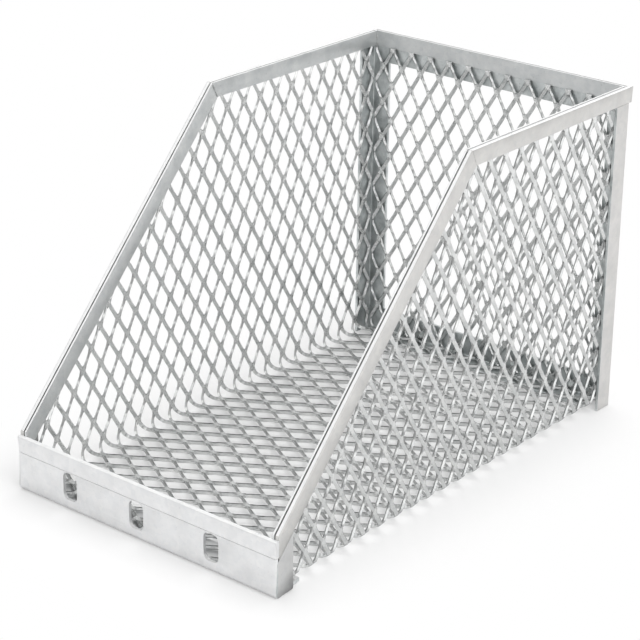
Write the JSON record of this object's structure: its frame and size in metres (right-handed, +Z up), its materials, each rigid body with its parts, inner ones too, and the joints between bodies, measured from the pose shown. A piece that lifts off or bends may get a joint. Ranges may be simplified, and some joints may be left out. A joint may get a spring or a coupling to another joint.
{
  "type": "bucket basket",
  "caption": "Open-fronted galvanised basket of expanded metal with sloped sides, a low slotted front lip, a flat-bar rim and angle posts, for carrying loose goods.",
  "frame": {"origin": "on the ground, under the middle of the outer box", "axes": "+X to the right seen from the open front, +Y from the low front lip to the tall back, +Z up"},
  "size_m": [0.3, 0.5, 0.32],
  "materials": {
    "rim_bar": "bright galvanised",
    "rim_strip": "galvanised",
    "frame_angle": "bright galvanised",
    "mesh_sheet": "galvanised"
  },
  "bodies": {
    "root": {"left_slope_bar": "rim_bar", "left_top_bar": "rim_bar", "right_slope_bar": "rim_bar", "right_top_bar": "rim_bar", "front_rim_bar": "rim_bar", "back_rim_bar": "rim_bar", "left_slope_strip": "rim_strip", "left_top_strip": "rim_strip", "right_slope_strip": "rim_strip", "right_top_strip": "rim_strip", "back_strip": "rim_strip", "front_lip_angle": "frame_angle", "left_front_return": "frame_angle", "right_front_return": "frame_angle", "left_back_post": "frame_angle", "right_back_post": "frame_angle", "back_top_rail": "frame_angle", "back_base_angle": "frame_angle", "left_wall_mesh": "mesh_sheet", "right_wall_mesh": "mesh_sheet", "floor_mesh": "mesh_sheet", "left_bend_mesh": "mesh_sheet", "right_bend_mesh": "mesh_sheet", "back_mesh": "mesh_sheet"}
  },
  "joints": []
}
